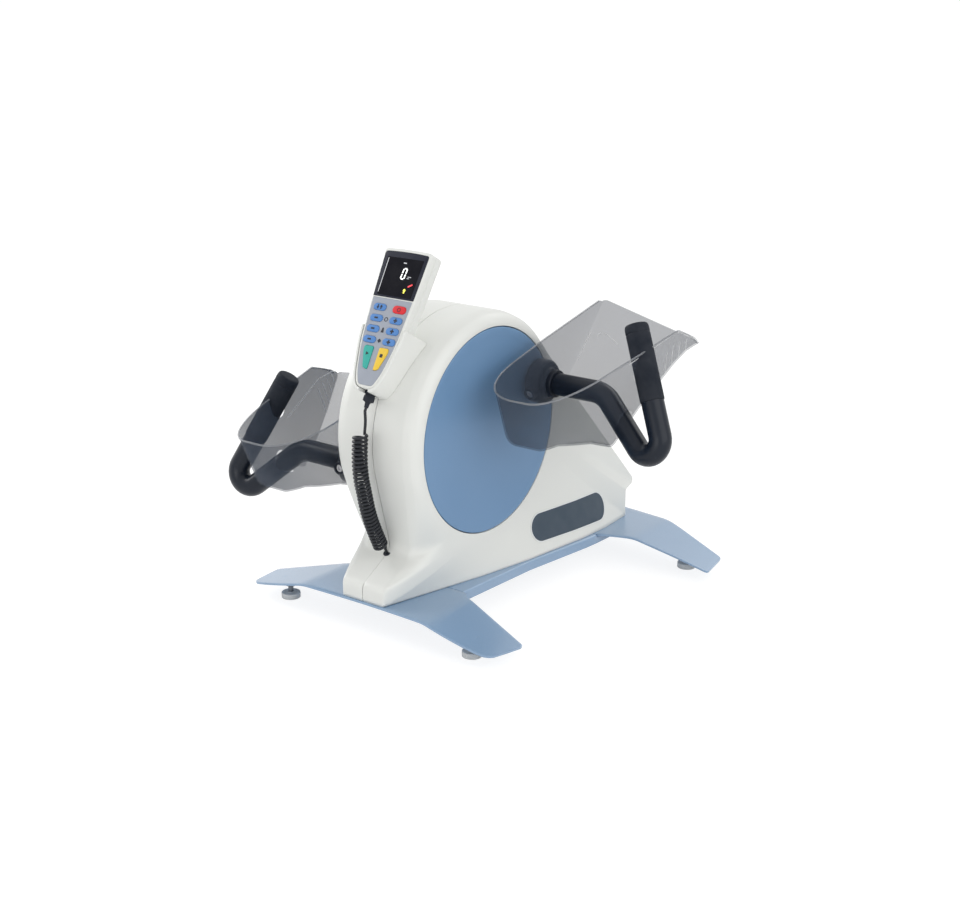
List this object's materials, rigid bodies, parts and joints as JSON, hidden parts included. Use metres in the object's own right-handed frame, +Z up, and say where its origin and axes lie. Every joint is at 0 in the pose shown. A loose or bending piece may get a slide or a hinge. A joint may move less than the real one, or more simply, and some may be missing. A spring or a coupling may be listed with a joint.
{
  "type": "active passive trainer",
  "caption": "Motor driven crank trainer for legs and arms: drum shaped housing, swivelling handles with foot shells, folded sheet legs, handset on a curly cord.",
  "frame": {"origin": "centre of the footprint on the floor, the free cord and its plug left out", "axes": "+Z up, -Y towards the user, +X to the user's right; the crank axis runs along X"},
  "size_m": [0.647, 0.5938, 0.528],
  "materials": {
    "white_plastic": "satin moulded",
    "blue_disc": "satin moulded",
    "blue_coat": "satin powder coat",
    "black_plastic": "satin",
    "black_tube": "satin powder coat",
    "black_grip": "matte",
    "smoked_plastic": "smoked, see-through",
    "steel": "zinc plated",
    "grey_foot": "matte",
    "display": "dark glass",
    "grey_keypad": "satin film",
    "slate_badge": "satin",
    "board": "coated board",
    "winding": "lacquered winding",
    "belt": "matte",
    "cord": "satin sheath",
    "key_blue": "satin",
    "key_red": "satin",
    "key_green": "satin",
    "key_yellow": "satin"
  },
  "bodies": {
    "trainer": {"base_channel": "blue_coat", "front_leg_plate": "blue_coat", "rear_leg_plate": "blue_coat", "housing_shell_left": "white_plastic", "housing_shell_right": "white_plastic", "badge_plate_left": "slate_badge", "badge_plate_right": "slate_badge", "frame_upright": "steel", "bearing_left": "steel", "bearing_right": "steel", "gear_motor": "steel", "drive_belt": "belt", "control_board": "board", "transformer": "winding", "mains_inlet": "black_plastic", "switch_frame": "black_plastic", "handset_cradle": "white_plastic", "cord_grommet": "black_plastic", "curly_cord": "cord"},
    "crank": {"crank_shaft": "steel", "crank_pulley": "black_plastic", "crank_disc_left": "blue_disc", "crank_disc_right": "blue_disc", "crank_pin_left": "steel", "crank_pin_right": "steel"},
    "motor_drive": {"motor_pulley": "steel"},
    "swivel_left": {"swivel_hub_left": "black_plastic", "clamp_screw_left": "steel", "handle_tube_left": "black_tube", "grip_sleeve_left": "black_grip", "foot_shell_left": "smoked_plastic"},
    "swivel_right": {"swivel_hub_right": "black_plastic", "clamp_screw_right": "steel", "handle_tube_right": "black_tube", "grip_sleeve_right": "black_grip", "foot_shell_right": "smoked_plastic"},
    "foot_front_left": {"foot_stud_front_left": "steel", "foot_pad_front_left": "grey_foot"},
    "foot_front_right": {"foot_stud_front_right": "steel", "foot_pad_front_right": "grey_foot"},
    "foot_rear_left": {"foot_stud_rear_left": "steel", "foot_pad_rear_left": "grey_foot"},
    "foot_rear_right": {"foot_stud_rear_right": "steel", "foot_pad_rear_right": "grey_foot"},
    "rocker": {"power_rocker": "black_plastic"},
    "handset": {"handset_front": "white_plastic", "handset_back": "white_plastic", "display_window": "display", "keypad_overlay": "grey_keypad", "cord_plug": "black_plastic"},
    "key_direction_body": {"key_direction": "key_blue"},
    "key_power_body": {"key_power": "key_red"},
    "key_speed_minus_body": {"key_speed_minus": "key_blue"},
    "key_speed_plus_body": {"key_speed_plus": "key_blue"},
    "key_load_minus_body": {"key_load_minus": "key_blue"},
    "key_load_plus_body": {"key_load_plus": "key_blue"},
    "key_time_minus_body": {"key_time_minus": "key_blue"},
    "key_time_plus_body": {"key_time_plus": "key_blue"},
    "key_start_body": {"key_start": "key_green"},
    "key_stop_body": {"key_stop": "key_yellow"}
  },
  "joints": [
    {"name": "crank_spin", "type": "hinge", "parent": "trainer", "child": "crank", "pos_m": [0, -0.0691, 0.264], "axis": [1, 0, 0], "continuous": true},
    {"name": "motor_pulley_spin", "type": "hinge", "parent": "trainer", "child": "motor_drive", "pos_m": [0, 0.0659, 0.15], "axis": [1, 0, 0], "continuous": true},
    {"name": "swivel_left_turn", "type": "hinge", "parent": "crank", "child": "swivel_left", "pos_m": [0, -0.17614, 0.2111], "axis": [1, 0, 0], "continuous": true},
    {"name": "swivel_right_turn", "type": "hinge", "parent": "crank", "child": "swivel_right", "pos_m": [0, 0.03794, 0.3169], "axis": [1, 0, 0], "continuous": true},
    {"name": "foot_level_front_left", "type": "slide", "parent": "trainer", "child": "foot_front_left", "axis": [0, 0, 1], "range_m": [-0.006, 0]},
    {"name": "foot_level_front_right", "type": "slide", "parent": "trainer", "child": "foot_front_right", "axis": [0, 0, 1], "range_m": [-0.006, 0]},
    {"name": "foot_level_rear_left", "type": "slide", "parent": "trainer", "child": "foot_rear_left", "axis": [0, 0, 1], "range_m": [-0.006, 0]},
    {"name": "foot_level_rear_right", "type": "slide", "parent": "trainer", "child": "foot_rear_right", "axis": [0, 0, 1], "range_m": [-0.006, 0]},
    {"name": "rocker_tilt", "type": "hinge", "parent": "trainer", "child": "rocker", "pos_m": [-0.036, 0.2579, 0.068], "axis": [1, 0, 0], "range_deg": [0, 18]},
    {"name": "handset_lift", "type": "slide", "parent": "trainer", "child": "handset", "axis": [0, 0.4924, 0.8704], "range_m": [0, 0.085], "deforming": ["curly_cord"]},
    {"name": "key_direction_press", "type": "slide", "parent": "handset", "child": "key_direction_body", "axis": [0, 0.8704, -0.4924], "range_m": [0, 0.0005], "stiffness_N_per_m": 400},
    {"name": "key_power_press", "type": "slide", "parent": "handset", "child": "key_power_body", "axis": [0, 0.8704, -0.4924], "range_m": [0, 0.0005], "stiffness_N_per_m": 400},
    {"name": "key_speed_minus_press", "type": "slide", "parent": "handset", "child": "key_speed_minus_body", "axis": [0, 0.8704, -0.4924], "range_m": [0, 0.0005], "stiffness_N_per_m": 400},
    {"name": "key_speed_plus_press", "type": "slide", "parent": "handset", "child": "key_speed_plus_body", "axis": [0, 0.8704, -0.4924], "range_m": [0, 0.0005], "stiffness_N_per_m": 400},
    {"name": "key_load_minus_press", "type": "slide", "parent": "handset", "child": "key_load_minus_body", "axis": [0, 0.8704, -0.4924], "range_m": [0, 0.0005], "stiffness_N_per_m": 400},
    {"name": "key_load_plus_press", "type": "slide", "parent": "handset", "child": "key_load_plus_body", "axis": [0, 0.8704, -0.4924], "range_m": [0, 0.0005], "stiffness_N_per_m": 400},
    {"name": "key_time_minus_press", "type": "slide", "parent": "handset", "child": "key_time_minus_body", "axis": [0, 0.8704, -0.4924], "range_m": [0, 0.0005], "stiffness_N_per_m": 400},
    {"name": "key_time_plus_press", "type": "slide", "parent": "handset", "child": "key_time_plus_body", "axis": [0, 0.8704, -0.4924], "range_m": [0, 0.0005], "stiffness_N_per_m": 400},
    {"name": "key_start_press", "type": "slide", "parent": "handset", "child": "key_start_body", "axis": [0, 0.8704, -0.4924], "range_m": [0, 0.0005], "stiffness_N_per_m": 400},
    {"name": "key_stop_press", "type": "slide", "parent": "handset", "child": "key_stop_body", "axis": [0, 0.8704, -0.4924], "range_m": [0, 0.0005], "stiffness_N_per_m": 400}
  ],
  "couplings": [
    {"joint": "motor_pulley_spin", "follows": "crank_spin", "ratio": 4.2857}
  ]
}
